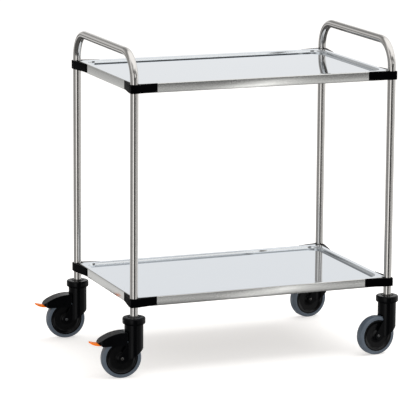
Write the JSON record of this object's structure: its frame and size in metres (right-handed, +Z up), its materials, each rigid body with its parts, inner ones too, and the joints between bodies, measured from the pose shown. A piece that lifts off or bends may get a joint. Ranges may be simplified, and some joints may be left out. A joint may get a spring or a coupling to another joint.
{
  "type": "serving trolley",
  "caption": "Two-shelf stainless serving trolley: tube hoops that form push handles, pressed trays, moulded corners and swivel castors, two of them braked.",
  "frame": {"origin": "on the floor, under the middle of the whole trolley", "axes": "+X along the long side away from the braked castors, +Y across, +Z up"},
  "size_m": [1.0268, 0.6006, 1.0035],
  "materials": {
    "stainless_tube": "satin ground tube",
    "stainless_sheet": "brushed aprons and rim, bright floor",
    "bracket_plastic": "fine moulded grain",
    "castor_plastic": "satin moulded",
    "wheel_plastic": "semi-gloss moulded",
    "grey_tread": "smooth thermoplastic rubber",
    "signal_orange": "satin moulded",
    "shoe_rubber": "matt",
    "expander_nylon": "plain moulded",
    "zinc_steel": "bright zinc"
  },
  "bodies": {
    "frame": {"hoop_left": "stainless_tube", "hoop_right": "stainless_tube", "shelf_upper": "stainless_sheet", "shelf_screws_upper": "zinc_steel", "bracket_upper_front_left": "bracket_plastic", "bracket_upper_back_left": "bracket_plastic", "bracket_upper_front_right": "bracket_plastic", "bracket_upper_back_right": "bracket_plastic", "shelf_lower": "stainless_sheet", "shelf_screws_lower": "zinc_steel", "bracket_lower_front_left": "bracket_plastic", "bracket_lower_back_left": "bracket_plastic", "bracket_lower_front_right": "bracket_plastic", "bracket_lower_back_right": "bracket_plastic", "castor_collar_front_left": "castor_plastic", "castor_expander_front_left": "expander_nylon", "castor_stem_front_left": "zinc_steel", "castor_collar_back_left": "castor_plastic", "castor_expander_back_left": "expander_nylon", "castor_stem_back_left": "zinc_steel", "castor_collar_front_right": "castor_plastic", "castor_expander_front_right": "expander_nylon", "castor_stem_front_right": "zinc_steel", "castor_collar_back_right": "castor_plastic", "castor_expander_back_right": "expander_nylon", "castor_stem_back_right": "zinc_steel"},
    "castor_front_left": {"castor_fork_front_left": "castor_plastic", "swivel_bearing_front_left": "zinc_steel", "wheel_axle_front_left": "zinc_steel", "axle_bush_front_left": "zinc_steel", "pedal_pin_front_left": "zinc_steel"},
    "wheel_front_left": {"wheel_core_front_left": "wheel_plastic", "tyre_front_left": "grey_tread"},
    "pedal_front_left": {"brake_pedal_front_left": "castor_plastic", "pedal_tab_front_left": "signal_orange", "brake_shoe_front_left": "shoe_rubber"},
    "castor_back_left": {"castor_fork_back_left": "castor_plastic", "swivel_bearing_back_left": "zinc_steel", "wheel_axle_back_left": "zinc_steel", "axle_bush_back_left": "zinc_steel", "pedal_pin_back_left": "zinc_steel"},
    "wheel_back_left": {"wheel_core_back_left": "wheel_plastic", "tyre_back_left": "grey_tread"},
    "pedal_back_left": {"brake_pedal_back_left": "castor_plastic", "pedal_tab_back_left": "signal_orange", "brake_shoe_back_left": "shoe_rubber"},
    "castor_front_right": {"castor_fork_front_right": "castor_plastic", "swivel_bearing_front_right": "zinc_steel", "wheel_axle_front_right": "zinc_steel", "axle_bush_front_right": "zinc_steel"},
    "wheel_front_right": {"wheel_core_front_right": "wheel_plastic", "tyre_front_right": "grey_tread"},
    "castor_back_right": {"castor_fork_back_right": "castor_plastic", "swivel_bearing_back_right": "zinc_steel", "wheel_axle_back_right": "zinc_steel", "axle_bush_back_right": "zinc_steel"},
    "wheel_back_right": {"wheel_core_back_right": "wheel_plastic", "tyre_back_right": "grey_tread"}
  },
  "joints": [
    {"name": "swivel_front_left", "type": "hinge", "parent": "frame", "child": "castor_front_left", "pos_m": [-0.3719, -0.265, 0.1664], "axis": [0, 0, 1], "continuous": true},
    {"name": "roll_front_left", "type": "hinge", "parent": "castor_front_left", "child": "wheel_front_left", "pos_m": [-0.41274, -0.26143, 0.0625], "axis": [0.0872, 0.9962, 0], "continuous": true},
    {"name": "brake_front_left", "type": "hinge", "parent": "castor_front_left", "child": "pedal_front_left", "pos_m": [-0.40577, -0.26204, 0.133], "axis": [-0.0872, -0.9962, 0], "range_deg": [0, 10]},
    {"name": "swivel_back_left", "type": "hinge", "parent": "frame", "child": "castor_back_left", "pos_m": [-0.3719, 0.265, 0.1664], "axis": [0, 0, 1], "continuous": true},
    {"name": "roll_back_left", "type": "hinge", "parent": "castor_back_left", "child": "wheel_back_left", "pos_m": [-0.41274, 0.26857, 0.0625], "axis": [0.0872, 0.9962, 0], "continuous": true},
    {"name": "brake_back_left", "type": "hinge", "parent": "castor_back_left", "child": "pedal_back_left", "pos_m": [-0.40577, 0.26796, 0.133], "axis": [-0.0872, -0.9962, 0], "range_deg": [0, 10]},
    {"name": "swivel_front_right", "type": "hinge", "parent": "frame", "child": "castor_front_right", "pos_m": [0.4781, -0.265, 0.1664], "axis": [0, 0, 1], "continuous": true},
    {"name": "roll_front_right", "type": "hinge", "parent": "castor_front_right", "child": "wheel_front_right", "pos_m": [0.43741, -0.27, 0.0625], "axis": [-0.1219, 0.9925, 0], "continuous": true},
    {"name": "swivel_back_right", "type": "hinge", "parent": "frame", "child": "castor_back_right", "pos_m": [0.4781, 0.265, 0.1664], "axis": [0, 0, 1], "continuous": true},
    {"name": "roll_back_right", "type": "hinge", "parent": "castor_back_right", "child": "wheel_back_right", "pos_m": [0.43741, 0.26, 0.0625], "axis": [-0.1219, 0.9925, 0], "continuous": true}
  ]
}
